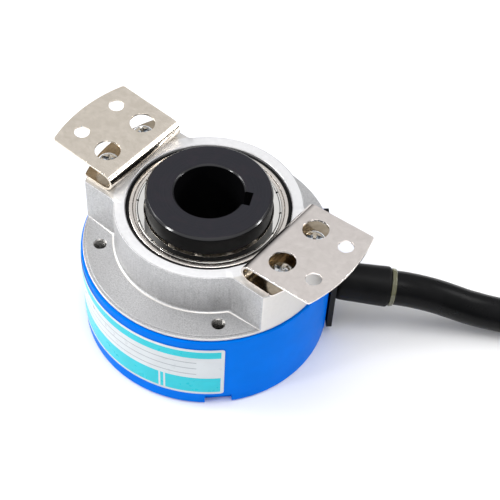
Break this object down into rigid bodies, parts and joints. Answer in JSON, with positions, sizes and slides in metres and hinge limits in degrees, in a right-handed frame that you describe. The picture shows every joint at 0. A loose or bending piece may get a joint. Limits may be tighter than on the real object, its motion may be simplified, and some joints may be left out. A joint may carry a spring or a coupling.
{
  "type": "hollow-shaft rotary encoder",
  "caption": "Hollow-shaft rotary encoder with a die-cast body, blue rear cover, U-shaped leaf springs and a coiled side cable.",
  "frame": {"origin": "on the shaft's axis at the rear cover's flat face, which the part stands on", "axes": "+Z along the shaft away from the rear cover, +X through the middle of the right leaf spring"},
  "size_m": [0.2434, 0.118, 0.0429],
  "materials": {
    "blue_plastic": "semi-gloss moulded",
    "cast_aluminium": "die-cast grain with machined faces",
    "bearing_steel": "ground",
    "bearing_shield": "pressed sheet",
    "ball_cage": "pressed cage with polished balls",
    "black_oxide_steel": "black oxide",
    "machined_aluminium": "turned",
    "disc_glass": "clear with a line track",
    "circuit_board": "green board",
    "brass": "turned",
    "black_component": "moulded",
    "white_plastic": "moulded",
    "wire_insulation": "bundled wires",
    "zinc_steel": "zinc plated",
    "spring_steel": "cold-rolled stainless sheet",
    "label_film": "printed film",
    "black_plastic": "moulded",
    "boot_rubber": "matt",
    "clear_ring": "tinted film",
    "cable_jacket": "satin jacket"
  },
  "bodies": {
    "housing": {"rear_cover": "blue_plastic", "body_casting": "cast_aluminium", "side_label": "label_film", "cover_screw_1": "zinc_steel", "cover_screw_2": "zinc_steel", "cover_screw_3": "zinc_steel", "front_outer_ring": "bearing_steel", "rear_outer_ring": "bearing_steel", "front_bearing_shield": "bearing_shield", "front_seal_ring": "boot_rubber", "bearing_retaining_ring": "black_oxide_steel", "main_board": "circuit_board", "board_standoff_1": "brass", "board_standoff_2": "brass", "board_standoff_3": "brass", "board_screw_1": "zinc_steel", "board_screw_2": "zinc_steel", "board_screw_3": "zinc_steel", "detector_block": "black_component", "mask_plate": "disc_glass", "light_source": "black_component", "signal_chip": "black_component", "wire_header": "white_plastic", "wire_bundle": "wire_insulation", "right_spring_base": "spring_steel", "left_spring_base": "spring_steel", "spring_screw_1": "zinc_steel", "spring_screw_2": "zinc_steel", "spring_screw_3": "zinc_steel", "spring_screw_4": "zinc_steel", "gland_plate": "black_plastic", "cable_boot": "boot_rubber", "boot_end_ring": "clear_ring", "cable_lead": "cable_jacket", "cable_coil": "cable_jacket", "cable_connector": "white_plastic"},
    "shaft": {"hollow_shaft": "black_oxide_steel", "front_inner_ring": "bearing_steel", "rear_inner_ring": "bearing_steel", "inner_spacer": "machined_aluminium", "shaft_clip": "black_oxide_steel", "disc_hub": "machined_aluminium", "code_disc": "disc_glass", "disc_clamp_ring": "machined_aluminium"},
    "front_balls": {"front_ball_cage": "ball_cage"},
    "rear_balls": {"rear_ball_cage": "ball_cage"},
    "right_leaf": {"right_spring_tab": "spring_steel"},
    "left_leaf": {"left_spring_tab": "spring_steel"}
  },
  "joints": [
    {"name": "shaft_spin", "type": "hinge", "parent": "housing", "child": "shaft", "pos_m": [0, 0, 0], "axis": [0, 0, 1], "continuous": true},
    {"name": "front_balls_spin", "type": "hinge", "parent": "housing", "child": "front_balls", "pos_m": [0, 0, 0], "axis": [0, 0, 1], "continuous": true},
    {"name": "rear_balls_spin", "type": "hinge", "parent": "housing", "child": "rear_balls", "pos_m": [0, 0, 0], "axis": [0, 0, 1], "continuous": true},
    {"name": "right_leaf_flex", "type": "hinge", "parent": "housing", "child": "right_leaf", "pos_m": [0.02138, 0, 0.03932], "axis": [0, -1, 0], "range_deg": [-3, 3], "stiffness_Nm_per_rad": 6},
    {"name": "left_leaf_flex", "type": "hinge", "parent": "housing", "child": "left_leaf", "pos_m": [-0.02138, 0, 0.03932], "axis": [0, 1, 0], "range_deg": [-3, 3], "stiffness_Nm_per_rad": 6}
  ],
  "couplings": [
    {"joint": "front_balls_spin", "follows": "shaft_spin", "ratio": 0.447},
    {"joint": "rear_balls_spin", "follows": "shaft_spin", "ratio": 0.447}
  ]
}
